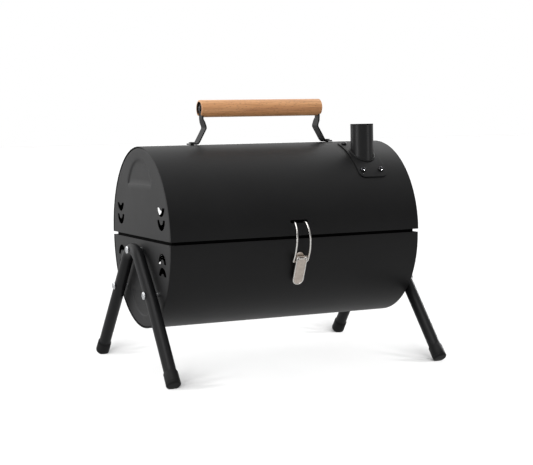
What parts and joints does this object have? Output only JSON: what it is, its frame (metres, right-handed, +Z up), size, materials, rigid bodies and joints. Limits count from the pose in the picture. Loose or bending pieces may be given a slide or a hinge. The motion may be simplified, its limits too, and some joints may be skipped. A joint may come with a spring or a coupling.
{
  "type": "portable charcoal barrel grill",
  "caption": "Tabletop barrel charcoal grill: hinged half-barrel lid with wooden handle and short chimney, wire-bail latch, V-shaped tube legs with rubber caps.",
  "frame": {"origin": "centre of the footprint on the ground under the four foot caps", "axes": "+X along the barrel towards the chimney end, -Y towards the front with the latch, +Z up"},
  "size_m": [0.3718, 0.2944, 0.3331],
  "materials": {
    "black_powder_coat": "fine satin powder coat",
    "end_panel_coat": "fine satin powder coat",
    "beech": "smooth varnished beech",
    "rubber": "matte moulded rubber",
    "zinc": "bright zinc plating",
    "dark_zinc": "glossy black zinc plating",
    "latch_plate": "polished warm nickel plating",
    "chromed_wire": "chromed steel wire",
    "grey_wire": "bare grey steel wire"
  },
  "bodies": {
    "tub": {"tub_shell": "black_powder_coat", "seam_lip": "black_powder_coat", "tub_end_left": "end_panel_coat", "tub_end_right": "end_panel_coat", "leg_left": "black_powder_coat", "leg_right": "black_powder_coat", "foot_cap_front_left": "rubber", "foot_cap_rear_left": "rubber", "foot_cap_front_right": "rubber", "foot_cap_rear_right": "rubber", "leg_bolt_left_top": "zinc", "leg_bolt_left_front": "zinc", "leg_bolt_left_rear": "zinc", "leg_bolt_right_top": "zinc", "leg_bolt_right_front": "zinc", "leg_bolt_right_rear": "zinc", "leg_nut_left_top": "zinc", "leg_nut_left_front": "zinc", "leg_nut_left_rear": "zinc", "leg_nut_right_top": "zinc", "leg_nut_right_front": "zinc", "leg_nut_right_rear": "zinc", "hinge_tub_leaf_left": "black_powder_coat", "hinge_tub_leaf_right": "black_powder_coat", "hinge_pin_left": "zinc", "hinge_pin_right": "zinc", "cooking_ledge_left": "black_powder_coat", "cooking_ledge_right": "black_powder_coat", "charcoal_ledge_left": "black_powder_coat", "charcoal_ledge_right": "black_powder_coat", "latch_base": "latch_plate", "latch_pin": "latch_plate", "latch_rivet_1": "zinc", "latch_rivet_2": "zinc"},
    "lid": {"lid_shell": "black_powder_coat", "lid_end_left": "end_panel_coat", "lid_end_right": "end_panel_coat", "handle_grip": "beech", "handle_strap_left": "black_powder_coat", "handle_strap_right": "black_powder_coat", "handle_foot_screw_left": "black_powder_coat", "handle_foot_screw_right": "black_powder_coat", "handle_end_screw_left": "dark_zinc", "handle_end_screw_right": "dark_zinc", "chimney_saddle": "black_powder_coat", "chimney_pipe": "black_powder_coat", "chimney_screw_1": "dark_zinc", "chimney_screw_2": "dark_zinc", "chimney_screw_3": "dark_zinc", "chimney_screw_4": "dark_zinc", "hinge_lid_leaf_left": "black_powder_coat", "hinge_lid_leaf_right": "black_powder_coat"},
    "lever": {"latch_lever": "latch_plate"},
    "bail": {"latch_bail": "latch_plate"},
    "cooking_grate": {"cooking_grate": "chromed_wire"},
    "charcoal_grate": {"charcoal_grate": "grey_wire"}
  },
  "joints": [
    {"name": "lid_hinge", "type": "hinge", "parent": "tub", "child": "lid", "pos_m": [0, 0.1149, 0.164], "axis": [-1, 0, 0], "range_deg": [0, 105]},
    {"name": "latch_lever", "type": "hinge", "parent": "tub", "child": "lever", "pos_m": [-0.0003, -0.11329, 0.1397], "axis": [-1, 0, 0], "range_deg": [0, 105]},
    {"name": "latch_bail", "type": "hinge", "parent": "lever", "child": "bail", "pos_m": [-0.0003, -0.11129, 0.13435], "axis": [-1, 0, 0], "range_deg": [-141.75, 0]},
    {"name": "cooking_grate_lift", "type": "slide", "parent": "tub", "child": "cooking_grate", "axis": [0, 0, 1], "range_m": [0, 0.045]},
    {"name": "charcoal_grate_lift", "type": "slide", "parent": "tub", "child": "charcoal_grate", "axis": [0, 0, 1], "range_m": [0, 0.025]}
  ],
  "couplings": [
    {"joint": "latch_bail", "follows": "latch_lever", "ratio": -1.35}
  ]
}
